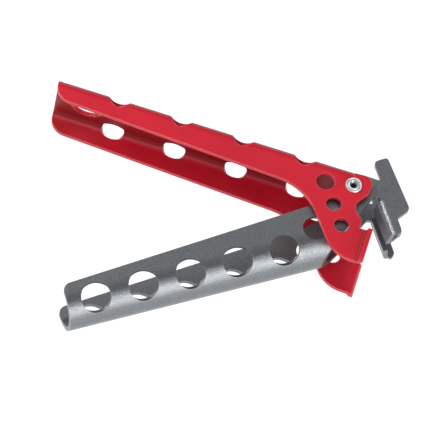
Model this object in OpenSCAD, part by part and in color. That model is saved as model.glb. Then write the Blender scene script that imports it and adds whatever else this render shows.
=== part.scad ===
// Two-lever sheet-metal grip. The upper lever is a folded channel with wide jaw
// lips, and the lower lever is a narrower channel that nests and turns inside it
// on two hollow rivets. The pivot axis is +Z, and the upper handle runs along -X.

/* [Sheet] */
// Thickness of the folded sheet
sheet = 1.8; // [1.2:0.1:2.2]
// Outside width of the upper channel, across its two flanges
upper_w = 28.2; // [27.8:0.1:30]
// Outside width of the lower channel
lower_w = 21.8; // [21:0.1:22.8]

/* [Handles] */
// Distance from the pivot to the end of the upper handle
upper_len = 120.4; // [116:0.4:134]
// Distance from the pivot to the end of the lower handle
lower_len = 120.8; // [112:0.4:134]
// Outside bend radius of the upper channel
upper_bend = 5.1; // [3.5:0.2:6.1]
// Height of the upper channel's back above the pivot axis
upper_back = 7.35; // [7.35:0.05:9]
// Depth of the lower channel's rounded back below the pivot axis
lower_back = 23; // [22:0.1:26]

/* [Lightening holes] */
// Radius of the holes along the upper handle's bends
upper_hole_r = 4.4; // [3:0.1:4.8]
// Spacing of the holes along the upper handle
upper_pitch = 25; // [22:1:26]
// Radius of the hole in the flat back, near the end of the upper handle
back_hole_r = 6.7; // [3:0.1:7]
// Radius of the holes along the lower handle's rounded sides
lower_hole_r = 6; // [4:0.1:6.2]
// Spacing of the holes along the lower handle
lower_pitch = 19; // [17:0.5:19.5]

/* [Jaws] */
// Length of each upper jaw lip, along the jaw
upper_lip_len = 14.1; // [13:0.1:14.5]
// How far each upper jaw lip stands out past its flange
upper_lip_h = 2.7; // [2:0.1:4]
// Angle between the two handles as modelled, with the jaws wide open
open_angle = 34.8; // [5:0.2:34.8]

/* [Rivets] */
// Radius of each rivet's shank
rivet_r = 2; // [1.5:0.1:2.2]
// Radius of each rivet's head
rivet_head_r = 3.2; // [3:0.1:4]
// Radius of the eye through each rivet
eye_r = 1; // [0.6:0.1:1.2]
// Radial clearance between a shank and the holes that it passes
running_gap = 0.05; // [0.02:0.01:0.1]

/* [Hidden] */
$fn = 64;
far = 400;
upper_half = upper_w / 2;
lower_half = lower_w / 2;
pivot_hole_r = rivet_r + running_gap;
red = [0.80, 0.09, 0.13];
grey = [0.42, 0.43, 0.44];

// Upper lever: where the channel's back stops, how far the jaw's flanges run on into
// the channel so that the two join, and where the jaw lips are
upper_channel_end = -0.9;
overlap = 0.05;
upper_jaw_x = 12.2;
upper_lip_bend = 1.4;
upper_lip_top = -16.9;
upper_lip_top_r = 0.5;
upper_lip_bottom_r = 1.6;
upper_flange_end = upper_jaw_x - sheet - upper_lip_bend;
upper_head_bottom = upper_lip_top - upper_lip_len;

// Upper lever: holes on the bends, the hole in the back, and three holes down the neck
// of each flange
upper_hole_count = 4;
upper_hole_x = -96;
upper_hole_tilt = 57;
back_hole_x = -107.6;
neck_holes = [[-10.8, -1.85, 3.65], [-5.1, -10.1, 3.05], [0.2, -17.8, 3]];

// Lower lever, in its own frame, with its handle along -X
lower_jaw_x = 7.8;
lower_lip_bend = 0.8;
lower_lip_top = -7.4;
lower_lip_bottom = -22.2;
lower_lip_turn = 82;
lower_lip_reach = 5.6;
lower_flange_end = lower_jaw_x + sheet + lower_lip_bend;
lower_hole_count = 5;
lower_hole_x = -109.3;
lower_hole_tilt = 28.6;
web_holes = [[-19.3, -11.8, 4.8], [-8.2, -8.8, 2.8]];

// Rivets and washers, up from the mid-plane
washer_r = 3.2;
washer_play = 0.05;
spacer_t = upper_half - sheet - lower_half - 2 * washer_play;
tail_washer_t = 0.8;
tail_top = lower_half - sheet - tail_washer_t - 2 * washer_play;
tail_h = 1.6;
tail_r = 3;
head_rim_h = 0.9;
head_groove_r = 2.4;
head_groove_h = 0.6;
head_ring_r = 2.1;
head_ring_h = 1.05;
head_dish_h = 0.2;

// The arc of radius r that rounds corner p, between its neighbours a and b
function unit(v) = v / norm(v);
function turn(from, to) = (to - from + 540) % 360 - 180;
function corner_arc(c, s, e, r, n) = let (
    a = atan2(s[1] - c[1], s[0] - c[0]),
    w = turn(a, atan2(e[1] - c[1], e[0] - c[0])))
    [for (i = [0 : n]) c + r * [cos(a + w * i / n), sin(a + w * i / n)]];
function corner(a, p, b, r) = let (
    u = unit(a - p),
    v = unit(b - p),
    half = acos(u * v) / 2,
    d = r / tan(half))
    corner_arc(p + unit(u + v) * r / sin(half), p + u * d, p + v * d, r, 10);
function at(p) = [p[0], p[1]];
// A closed outline through corners given as [x, y, radius], with 0 for a sharp one
function outline(c) = [for (i = [0 : len(c) - 1]) let (
    a = c[(i + len(c) - 1) % len(c)],
    b = c[(i + 1) % len(c)])
    each (c[i][2] > 0 ? corner(at(a), at(c[i]), at(b), c[i][2]) : [at(c[i])])];

// Half of a bend in section: a quarter ring about its centre
module quarter_ring(outer, inner) {
    intersection() {
        difference() {
            circle(r = outer);
            circle(r = inner);
        }
        square(outer + 1);
    }
}

// One half of a channel's section, above the mid-plane: x is the height of the
// section's back, y is the distance from the mid-plane
module half_section(half, back, bend) {
    translate([back - bend, half - bend]) quarter_ring(bend, bend - sheet);
    translate([back - bend - 60, half - sheet]) square([60, sheet]);
    if (half > bend) translate([back - sheet, 0]) square([sheet, half - bend]);
}

// A folded channel that runs along X from x0 to x1, with its back towards +Y
module channel(x0, x1, half, back, bend) {
    translate([x0, 0, 0]) rotate([90, 0, 90]) linear_extrude(x1 - x0) {
        half_section(half, back, bend);
        mirror([0, 1]) half_section(half, back, bend);
    }
}

// The flanges' outline, cut through both sides
module side_cut(points) {
    translate([0, 0, -far / 2]) linear_extrude(far) polygon(outline(points));
}

// Both flat flanges, from x0 to x1 and up to the height of top
module flanges(x0, x1, half, top) {
    for (z = [half - sheet, -half]) translate([x0, top - 60, z]) cube([x1 - x0, 60, sheet]);
}

module through_hole(x, y, r) {
    translate([x, y, -far / 2]) cylinder(r = r, h = far);
}

// A pair of holes that lean out over the channel's bends. Each was punched in the flat
// sheet, so its sides across the bend point at the bend's centre.
module bend_holes(x, back, bend, half, tilt, r) {
    spread = min(75, r / (bend - sheet / 2) * 180 / PI);
    for (s = [-1, 1]) translate([x, back - bend, s * (half - bend)])
        rotate([-s * tilt + (s > 0 ? 0 : 180), 0, 0])
            rotate_extrude() polygon([[0, 0], [r, r / tan(spread)], [r, 20], [0, 20]]);
}

upper_outline = [
    [-upper_len, 20, 0],
    [upper_channel_end - overlap, 20, 0],
    [upper_channel_end - overlap, 5.45, 0],
    [7.1, 5.85, 3.6],
    [6.5, -1.5, 1.5],
    [1.4, -8.7, 5],
    [7.3, -13.4, 1],
    [7.1, upper_lip_top, 0],
    [upper_flange_end, upper_lip_top, 0],
    [upper_flange_end, upper_head_bottom, 0],
    [0.6, upper_head_bottom, 13.8],
    [-17.4, -6.7, 22.3],
    [-upper_len, -1.8, 6.8]];

lower_outline = [
    [-lower_len, -30, 0],
    [-29.2, -30, 0],
    [9, -3.76, 1.7],
    [9, lower_lip_top, 0],
    [lower_flange_end, lower_lip_top, 0],
    [lower_flange_end, -22.9, 0],
    [12.75, -22.9, 2.3],
    [12.8, -16.4, 1.2],
    [18.8, -14, 2.1],
    [17.8, 9.6, 1.3],
    [12, 9.2, 1.6],
    [12, 0.6, 0.5],
    [5.4, 5.3, 1.6],
    [1.8, 3.5, 4],
    [-18.8, -2.4, 10],
    [-lower_len, -9.5, 3.4]];

// One outward lip of the upper jaw, on the flange above the mid-plane, with its two
// outer corners rounded
module upper_lip() {
    tip = upper_half + upper_lip_h;
    foot = upper_half - 2 * sheet;
    intersection() {
        translate([0, upper_lip_top + 1, 0]) rotate([90, 0, 0])
            linear_extrude(upper_lip_len + 2) {
                translate([upper_flange_end, upper_half + upper_lip_bend])
                    mirror([0, 1]) quarter_ring(upper_lip_bend + sheet, upper_lip_bend);
                translate([upper_jaw_x - sheet, upper_half + upper_lip_bend])
                    square([sheet, upper_lip_h - upper_lip_bend]);
            }
        rotate([90, 0, 90]) linear_extrude(40) polygon(outline([
            [upper_head_bottom, foot, 0],
            [upper_lip_top, foot, 0],
            [upper_lip_top, tip, upper_lip_top_r],
            [upper_head_bottom, tip, upper_lip_bottom_r]]));
    }
}

// One inward lip of the lower jaw: a bend short of square, then a flat that leans out
module lower_lip() {
    outer = lower_lip_bend + sheet;
    translate([0, lower_lip_top, 0]) rotate([90, 0, 0])
        linear_extrude(lower_lip_top - lower_lip_bottom)
            translate([lower_flange_end, lower_half - outer]) {
                intersection() {
                    mirror([1, 0]) quarter_ring(outer, lower_lip_bend);
                    rotate(lower_lip_turn - 90) translate([-20, 0]) square([20, 20]);
                }
                rotate(lower_lip_turn - 90) translate([-outer, -lower_lip_reach])
                    square([sheet, lower_lip_reach]);
            }
}

module upper_lever() {
    color(red) {
        difference() {
            intersection() {
                union() {
                    channel(-upper_len, upper_channel_end, upper_half, upper_back, upper_bend);
                    flanges(upper_channel_end - overlap, upper_flange_end, upper_half, 20);
                }
                side_cut(upper_outline);
            }
            for (i = [0 : upper_hole_count - 1])
                bend_holes(upper_hole_x + i * upper_pitch, upper_back, upper_bend,
                           upper_half, upper_hole_tilt, upper_hole_r);
            translate([back_hole_x, 0, 0]) rotate([-90, 0, 0]) cylinder(r = back_hole_r, h = 20);
            for (h = neck_holes) through_hole(h[0], h[1], h[2]);
            through_hole(0, 0, pivot_hole_r);
        }
        for (s = [0, 1]) mirror([0, 0, s]) upper_lip();
    }
}

module lower_lever() {
    color(grey) rotate([0, 0, open_angle]) {
        difference() {
            intersection() {
                union() {
                    mirror([0, 1, 0]) channel(-lower_len, 0, lower_half, lower_back, lower_half);
                    flanges(-1, 40, lower_half, 20);
                }
                side_cut(lower_outline);
            }
            mirror([0, 1, 0]) for (i = [0 : lower_hole_count - 1])
                bend_holes(lower_hole_x + i * lower_pitch, lower_back, lower_half,
                           lower_half, lower_hole_tilt, lower_hole_r);
            for (h = web_holes) through_hole(h[0], h[1], h[2]);
            through_hole(0, 0, pivot_hole_r);
        }
        for (s = [0, 1]) mirror([0, 0, s]) lower_lip();
    }
}

// A hollow rivet: a head with a rim, a groove, a ring and a dished middle, then a shank,
// and the tail rolled over inside
module rivet() {
    color([0.82, 0.82, 0.80]) rotate_extrude() polygon([
        [eye_r, tail_top - tail_h + 0.3],
        [rivet_r - 0.3, tail_top - tail_h],
        [tail_r - 0.4, tail_top - tail_h + 0.3],
        [tail_r, tail_top - tail_h / 2],
        [tail_r - 0.2, tail_top],
        [rivet_r, tail_top],
        [rivet_r, upper_half],
        [rivet_head_r - 0.2, upper_half],
        [rivet_head_r, upper_half + 0.3],
        [rivet_head_r, upper_half + head_rim_h - 0.3],
        [rivet_head_r - 0.2, upper_half + head_rim_h],
        [head_groove_r + 0.3, upper_half + head_rim_h],
        [head_groove_r, upper_half + head_groove_h],
        [head_ring_r, upper_half + head_ring_h - 0.1],
        [head_ring_r - 0.4, upper_half + head_ring_h],
        [eye_r, upper_half + head_dish_h]]);
}

module washer(z, t) {
    translate([0, 0, z]) difference() {
        cylinder(r = washer_r, h = t);
        translate([0, 0, -1]) cylinder(r = rivet_r + running_gap, h = t + 2);
    }
}

// The spacer between the flanges of the two levers
module spacer() {
    color([0.25, 0.25, 0.26]) washer(lower_half + washer_play, spacer_t);
}

// The washer between the lower lever and the rivet's tail
module tail_washer() {
    color([0.70, 0.70, 0.70]) washer(tail_top + washer_play, tail_washer_t);
}

upper_lever();
lower_lever();
rivet();  // top_rivet
mirror([0, 0, 1]) rivet();  // bottom_rivet
spacer();  // top_spacer
mirror([0, 0, 1]) spacer();  // bottom_spacer
tail_washer();  // top_tail_washer
mirror([0, 0, 1]) tail_washer();  // bottom_tail_washer
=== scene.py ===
import math

import bpy
from mathutils import Matrix, Vector


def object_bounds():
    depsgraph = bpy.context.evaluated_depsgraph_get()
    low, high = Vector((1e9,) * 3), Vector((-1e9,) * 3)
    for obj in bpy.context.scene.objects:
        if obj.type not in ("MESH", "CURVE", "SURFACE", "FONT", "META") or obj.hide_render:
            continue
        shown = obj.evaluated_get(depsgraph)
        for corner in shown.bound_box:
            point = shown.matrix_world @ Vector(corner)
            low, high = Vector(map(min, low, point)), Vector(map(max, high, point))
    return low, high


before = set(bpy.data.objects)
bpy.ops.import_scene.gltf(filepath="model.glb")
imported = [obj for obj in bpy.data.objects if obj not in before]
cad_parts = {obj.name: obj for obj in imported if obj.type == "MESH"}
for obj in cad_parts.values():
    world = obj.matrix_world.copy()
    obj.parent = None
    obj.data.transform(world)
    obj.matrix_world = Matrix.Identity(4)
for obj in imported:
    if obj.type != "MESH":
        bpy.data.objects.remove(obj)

CAD_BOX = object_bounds()
MM = 0.001

# Camera: a long lens, looking down at the flat side of the grip
CAMERA_AZIMUTH = -3.652
CAMERA_ELEVATION = 62.085
CAMERA_ROLL = 14.201
CAMERA_SLIDE = (-48.160 * MM, -8.339 * MM)
CAMERA_DISTANCE = 2113.585 * MM
CAMERA_LENS = 439.6
SENSOR_WIDTH = 36.0
CAMERA_NEAREST = 0.05
CAMERA_FARTHEST = 20

# Colours, as linear RGB
RED = (0.56, 0.010, 0.027, 1)
# Deeper red: the coat's own speckle, and painted shade on the outside of the long bends
RED_SPECK_AND_BEND_SHADE = (0.20, 0.004, 0.010, 1)
# Painted shade for the inside of the red channel
RED_INSIDE_SHADE = (0.22, 0.005, 0.009, 1)
# Painted shade for the creases of the red jaw lips
RED_FOLD_SHADE = (0.30, 0.004, 0.010, 1)
# Painted highlight for the red edges
RED_EDGE_HIGHLIGHT = (0.86, 0.28, 0.32, 1)
GREY = (0.200, 0.212, 0.222, 1)
GREY_DARK = (0.150, 0.160, 0.170, 1)
# Painted highlight for the grey edges
GREY_EDGE_HIGHLIGHT = (0.36, 0.37, 0.38, 1)
BRIGHT = (0.86, 0.88, 0.88, 1)
DULL = (0.52, 0.55, 0.55, 1)
STEEL = (0.55, 0.56, 0.57, 1)
BLACK = (0.020, 0.020, 0.022, 1)
FLOOR = (0.93, 0.93, 0.93, 1)
FLOOR_GLOW = 1.03
FLOOR_DARKENING = 0.8
FLOOR_HALF_WIDTH = 6.0

# Lights: name, place from the object's centre, width and height, power
LIGHTS = (
    ("key", (-0.8, 0.18, 0.71), (0.5, 0.5), 8.5),
    ("back_sky", (-0.04, 0.61, 1.15), (1.2, 1.2), 2.4),
    ("right_front", (0.74, -0.62, 0.38), (0.9, 0.75), 9.5),
    ("front_top", (-0.3, -0.6, 0.78), (0.35, 0.35), 3.2),
)
STUDIO_WHITE = (1, 1, 1, 1)
STUDIO_STRENGTH = 0.15

# The painted zones below fade out over this distance, unless they say otherwise
PAINT_EDGE = 0.1 * MM

# Painted shade inside the red channel: darker along its bends and at its open end, where shade
# falls
INSIDE_WIDTH = 12.5 * MM
INSIDE_LOW = 3.2 * MM
INSIDE_HIGH = 5.0 * MM
INSIDE_BACK = 5.7 * MM
OPEN_END_START = -90 * MM
OPEN_END = -116 * MM
OPEN_END_DEPTH = 0.7

# Painted shade on the outside of the two long bends of the red channel, which are painted darker
BEND_LOW = 4.6 * MM
BEND_HIGH = 5.8 * MM
BACK_FACE = 7.3 * MM
BEND_INNER = 9.5 * MM
BEND_OUTER = 11.5 * MM
BEND_DEPTH = 0.75

# Painted shade in the crease where each red jaw lip turns out of its flange, which is painted
# darker
FOLD_START = 8.8 * MM
FOLD_END = 10.5 * MM
FOLD_FADE_IN = 0.4 * MM
FOLD_FADE_OUT = 0.2 * MM
FOLD_DEPTH = 0.9
FLANGE_FACE = 14.0 * MM
FLANGE_FADE = 0.2 * MM

# Painted shade on the rivet, darker in its eye, dished middle and groove, as (distance from its
# axis, brightness): eye, dished middle, ring, groove, rim
RIVET_PAINTED_SHADE = (
    (0, 0.22), (1.04 * MM, 0.22),
    (1.14 * MM, 0.40), (1.65 * MM, 0.52),
    (1.80 * MM, 1), (2.22 * MM, 0.95),
    (2.42 * MM, 0.35),
    (2.62 * MM, 1), (4 * MM, 1),
)

EDGE_ROUNDING = 0.28 * MM
RIVET_ROUNDING = 0.06 * MM
ROUNDING_SEGMENTS = 3
SHARPEST_UNROUNDED = math.radians(40)
# Reach of the painted edge highlight
EDGE_HIGHLIGHT_REACH = 0.35 * MM


# Materials

def new_material(name):
    """A node material with nothing in it, and helpers that add and join its nodes."""
    material = bpy.data.materials.new(name)
    material.use_nodes = True
    tree = material.node_tree
    tree.nodes.clear()

    def node(kind, **values):
        made = tree.nodes.new(kind)
        for key, value in values.items():
            if key.startswith("in_"):
                made.inputs[key[3:].replace("_", " ")].default_value = value
            else:
                setattr(made, key, value)
        return made

    def join(out, socket):
        tree.links.new(out, socket)

    return material, node, join


def finish_material(node, join, shader):
    output = node("ShaderNodeOutputMaterial")
    join(shader.outputs["BSDF"], output.inputs["Surface"])


def noise(node, join, place, scale, detail=2.0, roughness=0.5):
    """A noise of scale cycles per metre, in the piece's own frame."""
    made = node("ShaderNodeTexNoise", in_Scale=scale, in_Detail=detail, in_Roughness=roughness)
    join(place.outputs["Object"], made.inputs["Vector"])
    return made.outputs["Fac"]


def ramp(node, join, factor, stops):
    """A colour or value that follows factor through stops of (position, colour)."""
    made = node("ShaderNodeValToRGB")
    elements = made.color_ramp.elements
    while len(elements) < len(stops):
        elements.new(0.5)
    for element, (position, colour) in zip(elements, stops):
        element.position = position
        element.color = colour
    join(factor, made.inputs["Fac"])
    return made.outputs["Color"]


def level(value):
    return (value, value, value, 1)


def scaled(colour, factor):
    return tuple(factor * part for part in colour[:3]) + (1,)


def mix(node, join, factor, low, high, blend="MIX"):
    """Mixes two colours, each a socket or four numbers, by a factor, a socket or a number."""
    made = node("ShaderNodeMix", data_type="RGBA", blend_type=blend)
    for socket, value in ((made.inputs[0], factor), (made.inputs[6], low), (made.inputs[7], high)):
        if isinstance(value, bpy.types.NodeSocket):
            join(value, socket)
        else:
            socket.default_value = value
    return made.outputs[2]


def multiply(node, join, first, second):
    return mix(node, join, 1.0, first, second, "MULTIPLY")


def edge_highlight(node, join, place, strength):
    """A painted highlight where the rounded edges catch light: strength along the sheet's cut
    edges and 0 on its faces, broken up by a fine noise.
    """
    bevel = node("ShaderNodeBevel", samples=6, in_Radius=EDGE_HIGHLIGHT_REACH)
    geometry = node("ShaderNodeNewGeometry")
    dot = node("ShaderNodeVectorMath", operation="DOT_PRODUCT")
    join(bevel.outputs["Normal"], dot.inputs[0])
    join(geometry.outputs["Normal"], dot.inputs[1])
    spread = ramp(node, join, dot.outputs["Value"], [(0.90, level(strength)), (0.995, level(0.0))])
    grain = ramp(node, join, noise(node, join, place, scale=900, detail=3),
                 [(0.35, level(0.45)), (0.6, level(1.0))])
    return multiply(node, join, spread, grain)


def along(node, join, place, axis, stops, both_sides=False):
    """A ramp through stops of (metres, value) along axis, X, Y or Z, from the origin. It goes
    towards the last stop, or with both_sides the same way in both directions."""
    parts = node("ShaderNodeSeparateXYZ")
    join(place.outputs["Object"], parts.inputs["Vector"])
    distance = parts.outputs[axis]
    if both_sides:
        size = node("ShaderNodeMath", operation="ABSOLUTE")
        join(distance, size.inputs[0])
        distance = size.outputs["Value"]
    return distance_ramp(node, join, distance, stops)


def distance_ramp(node, join, distance, stops):
    """A ramp through stops of (metres, value), which start at 0, by a distance in metres."""
    reach = stops[-1][0]
    share = node("ShaderNodeMath", operation="DIVIDE")
    join(distance, share.inputs[0])
    share.inputs[1].default_value = reach
    return ramp(node, join, share.outputs["Value"],
                [(metres / reach, level(value)) for metres, value in stops])


def bump(node, join, heights, distance, strength=1.0):
    """A normal from a chain of heights, each (socket, its share of distance)."""
    normal = None
    for height, share in heights:
        made = node("ShaderNodeBump", in_Strength=strength, in_Distance=distance * share)
        join(height, made.inputs["Height"])
        if normal is not None:
            join(normal, made.inputs["Normal"])
        normal = made.outputs["Normal"]
    return normal


def painted_inside_shade(node, join, place):
    """Painted shade inside the red channel: 1 on its inner bends, less towards its open end, and 0
    elsewhere.
    """
    width = along(node, join, place, "Z",
                  [(0, 1), (INSIDE_WIDTH, 1), (INSIDE_WIDTH + PAINT_EDGE, 0)], both_sides=True)
    bend = along(node, join, place, "Y",
                 [(0, 0), (INSIDE_LOW, 0), (INSIDE_HIGH, 1),
                  (INSIDE_BACK, 1), (INSIDE_BACK + PAINT_EDGE, 0)])
    under_back = along(node, join, place, "Y",
                       [(0, 1), (INSIDE_BACK, 1), (INSIDE_BACK + PAINT_EDGE, 0)])
    open_end = along(node, join, place, "X",
                     [(0, 0), (OPEN_END_START, 0), (OPEN_END, OPEN_END_DEPTH)])
    end = multiply(node, join, open_end, under_back)
    return multiply(node, join, width, mix(node, join, 1.0, bend, end, "LIGHTEN"))


def painted_bend_shade(node, join, place):
    """BEND_DEPTH of painted shade on the outside of the red channel's two long bends, and 0
    elsewhere.
    """
    height = along(node, join, place, "Y",
                   [(0, 0), (BEND_LOW, 0), (BEND_HIGH, BEND_DEPTH),
                    (BACK_FACE, BEND_DEPTH), (BACK_FACE + PAINT_EDGE, 0)])
    width = along(node, join, place, "Z", [(0, 0), (BEND_INNER, 0), (BEND_OUTER, 1)],
                  both_sides=True)
    return multiply(node, join, height, width)


def painted_fold_shade(node, join, place):
    """FOLD_DEPTH of painted shade in the creases of the red jaw lips, and 0 elsewhere."""
    length = along(node, join, place, "X",
                   [(0, 0), (FOLD_START, 0), (FOLD_START + FOLD_FADE_IN, FOLD_DEPTH),
                    (FOLD_END - FOLD_FADE_OUT, FOLD_DEPTH), (FOLD_END, 0)])
    outside = along(node, join, place, "Z",
                    [(0, 0), (FLANGE_FACE - FLANGE_FADE, 0), (FLANGE_FACE, 1)], both_sides=True)
    return multiply(node, join, length, outside)


def red_coat():
    """Satin red powder coat: fine orange peel, cloudy depth of colour, pale edges that are a
    painted highlight, and painted shade inside the channel, on its long bends and in the lip
    creases.
    """
    material, node, join = new_material("red_powder_coat")
    place = node("ShaderNodeTexCoord")
    cloud = noise(node, join, place, scale=55, detail=4, roughness=0.55)
    speck = noise(node, join, place, scale=1500)
    peel = noise(node, join, place, scale=2400)
    base = mix(node, join, ramp(node, join, cloud, [(0.35, level(0)), (0.65, level(1))]),
               RED, scaled(RED, 0.90))
    base = mix(node, join, ramp(node, join, speck, [(0.56, level(0)), (0.70, level(0.22))]),
               base, RED_SPECK_AND_BEND_SHADE)
    # Painted shade inside the red channel
    base = mix(node, join, painted_inside_shade(node, join, place), base, RED_INSIDE_SHADE)
    # Painted shade on the outside of the long bends
    base = mix(node, join, painted_bend_shade(node, join, place), base, RED_SPECK_AND_BEND_SHADE)
    # Painted highlight along the edges
    base = mix(node, join, edge_highlight(node, join, place, 0.55), base, RED_EDGE_HIGHLIGHT)
    # Painted shade in the creases of the jaw lips
    base = mix(node, join, painted_fold_shade(node, join, place), base, RED_FOLD_SHADE)
    shader = node("ShaderNodeBsdfPrincipled", in_Metallic=0.0, in_IOR=1.38,
                  in_Specular_IOR_Level=0.4, in_Coat_Weight=0.12, in_Coat_Roughness=0.28)
    join(base, shader.inputs["Base Color"])
    join(ramp(node, join, cloud, [(0.3, level(0.36)), (0.7, level(0.44))]),
         shader.inputs["Roughness"])
    join(bump(node, join, [(peel, 1.0), (speck, 0.5)], 0.02 * MM, 0.5), shader.inputs["Normal"])
    finish_material(node, join, shader)
    return material


def grey_coat():
    """Grey hammertone coat: fine metallic grain over a dark base, pale edges that are a painted
    highlight.
    """
    material, node, join = new_material("grey_hammertone")
    place = node("ShaderNodeTexCoord")
    cloud = noise(node, join, place, scale=60, detail=3)
    grain = noise(node, join, place, scale=1900, roughness=0.6)
    pits = noise(node, join, place, scale=3600)
    base = mix(node, join, ramp(node, join, grain, [(0.36, level(0)), (0.62, level(1))]),
               GREY_DARK, scaled(GREY, 1.1))
    base = mix(node, join, ramp(node, join, cloud, [(0.3, level(0)), (0.7, level(0.35))]),
               base, GREY)
    # Painted highlight along the edges
    base = mix(node, join, edge_highlight(node, join, place, 0.6), base, GREY_EDGE_HIGHLIGHT)
    shader = node("ShaderNodeBsdfPrincipled", in_Metallic=0.9)
    join(base, shader.inputs["Base Color"])
    join(ramp(node, join, grain, [(0.3, level(0.40)), (0.7, level(0.31))]),
         shader.inputs["Roughness"])
    join(bump(node, join, [(grain, 1.0), (pits, 0.5)], 0.11 * MM, 0.8), shader.inputs["Normal"])
    finish_material(node, join, shader)
    return material


def rivet_metal():
    """Bright rivet: turned rings about the pivot, with painted shade that darkens the eye and the
    groove and dims the dished middle.
    """
    material, node, join = new_material("rivet_aluminium")
    place = node("ShaderNodeTexCoord")
    rings = node("ShaderNodeTexWave", wave_type="RINGS", rings_direction="Z", in_Scale=1500,
                 in_Distortion=0.6, in_Detail=2)
    join(place.outputs["Object"], rings.inputs["Vector"])
    stain = noise(node, join, place, scale=700, detail=3)
    base = mix(node, join, ramp(node, join, stain, [(0.4, level(0)), (0.7, level(0.5))]),
               BRIGHT, DULL)
    flat = node("ShaderNodeVectorMath", operation="MULTIPLY")
    join(place.outputs["Object"], flat.inputs[0])
    flat.inputs[1].default_value = (1, 1, 0)
    radius = node("ShaderNodeVectorMath", operation="LENGTH")
    join(flat.outputs["Vector"], radius.inputs[0])
    # Painted shade, by distance from the rivet's axis
    shade = distance_ramp(node, join, radius.outputs["Value"], RIVET_PAINTED_SHADE)
    base = multiply(node, join, base, shade)
    shader = node("ShaderNodeBsdfPrincipled", in_Metallic=0.75)
    join(base, shader.inputs["Base Color"])
    join(ramp(node, join, stain, [(0.3, level(0.36)), (0.7, level(0.48))]),
         shader.inputs["Roughness"])
    join(bump(node, join, [(rings.outputs["Fac"], 1.0), (stain, 1.0)], 0.01 * MM, 0.6),
         shader.inputs["Normal"])
    finish_material(node, join, shader)
    return material


def washer_steel():
    """Plain steel washer, brushed and slightly stained."""
    material, node, join = new_material("washer_steel")
    place = node("ShaderNodeTexCoord")
    stain = noise(node, join, place, scale=500, detail=3)
    base = mix(node, join, ramp(node, join, stain, [(0.4, level(0)), (0.7, level(1))]),
               STEEL, scaled(STEEL, 0.7))
    shader = node("ShaderNodeBsdfPrincipled", in_Metallic=1.0, in_Roughness=0.35)
    join(base, shader.inputs["Base Color"])
    join(bump(node, join, [(stain, 1.0)], 0.01 * MM), shader.inputs["Normal"])
    finish_material(node, join, shader)
    return material


def spacer_plastic():
    """Black spacer, rubbed paler in patches."""
    material, node, join = new_material("spacer_plastic")
    place = node("ShaderNodeTexCoord")
    rub = noise(node, join, place, scale=900, detail=3)
    base = mix(node, join, ramp(node, join, rub, [(0.45, level(0)), (0.7, level(1))]),
               BLACK, scaled(BLACK, 3))
    shader = node("ShaderNodeBsdfPrincipled", in_Roughness=0.55)
    join(base, shader.inputs["Base Color"])
    join(bump(node, join, [(rub, 1.0)], 0.01 * MM), shader.inputs["Normal"])
    finish_material(node, join, shader)
    return material


def floor_paint():
    """A pale floor that glows like a light table, so it takes no shadow, and is faintly uneven."""
    material, node, join = new_material("floor_light_table")
    place = node("ShaderNodeTexCoord")
    cloud = noise(node, join, place, scale=6, detail=3)
    glow = mix(node, join, cloud, FLOOR, scaled(FLOOR, 0.985))
    shader = node("ShaderNodeBsdfPrincipled", in_Roughness=0.9, in_Emission_Strength=FLOOR_GLOW)
    join(mix(node, join, FLOOR_DARKENING, glow, BLACK), shader.inputs["Base Color"])
    join(glow, shader.inputs["Emission Color"])
    finish_material(node, join, shader)
    return material


# Pieces: the CAD nodes keep their shape, and get rounded edges and their material

def dress(node_name, material, rounding):
    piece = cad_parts[node_name]
    piece.data.materials.clear()
    piece.data.materials.append(material)
    bevel = piece.modifiers.new("rounded_edges", "BEVEL")
    bevel.width = rounding
    bevel.segments = ROUNDING_SEGMENTS
    bevel.limit_method = "ANGLE"
    bevel.angle_limit = SHARPEST_UNROUNDED
    bevel.harden_normals = False
    bevel.use_clamp_overlap = True


def dress_all():
    red = red_coat()
    grey = grey_coat()
    rivet = rivet_metal()
    steel = washer_steel()
    plastic = spacer_plastic()
    dress("upper_lever", red, EDGE_ROUNDING)
    dress("lower_lever", grey, EDGE_ROUNDING)
    for side in ("top", "bottom"):
        dress(side + "_rivet", rivet, RIVET_ROUNDING)
        dress(side + "_spacer", plastic, RIVET_ROUNDING)
        dress(side + "_tail_washer", steel, RIVET_ROUNDING)


# The set

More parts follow.
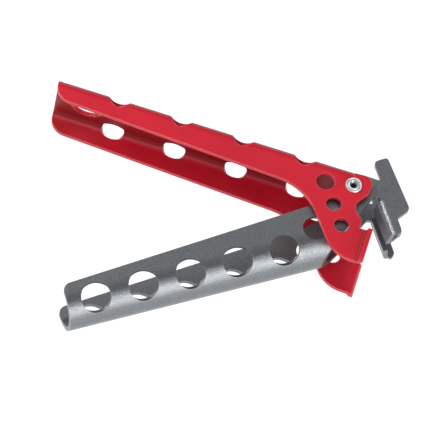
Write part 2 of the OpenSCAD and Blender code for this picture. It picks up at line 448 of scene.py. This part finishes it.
def make_camera():
    """A camera that looks at the origin, slid sideways and rolled about its own line of sight."""
    azimuth = math.radians(CAMERA_AZIMUTH)
    elevation = math.radians(CAMERA_ELEVATION)
    roll = math.radians(CAMERA_ROLL)
    forward = Vector((math.sin(azimuth) * math.cos(elevation),
                      math.cos(azimuth) * math.cos(elevation),
                      -math.sin(elevation)))
    level_right = Vector((math.cos(azimuth), -math.sin(azimuth), 0))
    level_up = level_right.cross(forward)
    right = math.cos(roll) * level_right + math.sin(roll) * level_up
    up = -math.sin(roll) * level_right + math.cos(roll) * level_up
    place = right * CAMERA_SLIDE[0] + up * CAMERA_SLIDE[1] - forward * CAMERA_DISTANCE
    data = bpy.data.cameras.new("camera")
    data.lens = CAMERA_LENS
    data.sensor_width = SENSOR_WIDTH
    data.clip_start = CAMERA_NEAREST
    data.clip_end = CAMERA_FARTHEST
    camera = bpy.data.objects.new("camera", data)
    turn = Matrix((right, up, -forward)).transposed().to_4x4()
    camera.matrix_world = Matrix.Translation(place) @ turn
    bpy.context.scene.collection.objects.link(camera)
    bpy.context.scene.camera = camera


def make_floor():
    height = CAD_BOX[0].z
    corners = [(x * FLOOR_HALF_WIDTH, y * FLOOR_HALF_WIDTH, height)
               for x, y in ((-1, -1), (1, -1), (1, 1), (-1, 1))]
    mesh = bpy.data.meshes.new("floor")
    mesh.from_pydata(corners, [], [(0, 1, 2, 3)])
    floor = bpy.data.objects.new("floor", mesh)
    floor.data.materials.append(floor_paint())
    bpy.context.scene.collection.objects.link(floor)


def make_light(name, place, target, size, power):
    data = bpy.data.lights.new(name, "AREA")
    data.shape = "RECTANGLE"
    data.size, data.size_y = size
    data.energy = power
    light = bpy.data.objects.new(name, data)
    light.location = place
    light.rotation_euler = (target - place).to_track_quat("-Z", "Y").to_euler()
    bpy.context.scene.collection.objects.link(light)


def make_lights():
    centre = (CAD_BOX[0] + CAD_BOX[1]) / 2
    for name, place, size, power in LIGHTS:
        make_light(name, centre + Vector(place), centre, size, power)
    world = bpy.data.worlds.new("studio")
    world.use_nodes = True
    background = world.node_tree.nodes["Background"]
    background.inputs["Color"].default_value = STUDIO_WHITE
    background.inputs["Strength"].default_value = STUDIO_STRENGTH
    bpy.context.scene.world = world


bpy.context.scene.view_settings.view_transform = "Standard"
make_camera()
dress_all()
make_floor()
make_lights()
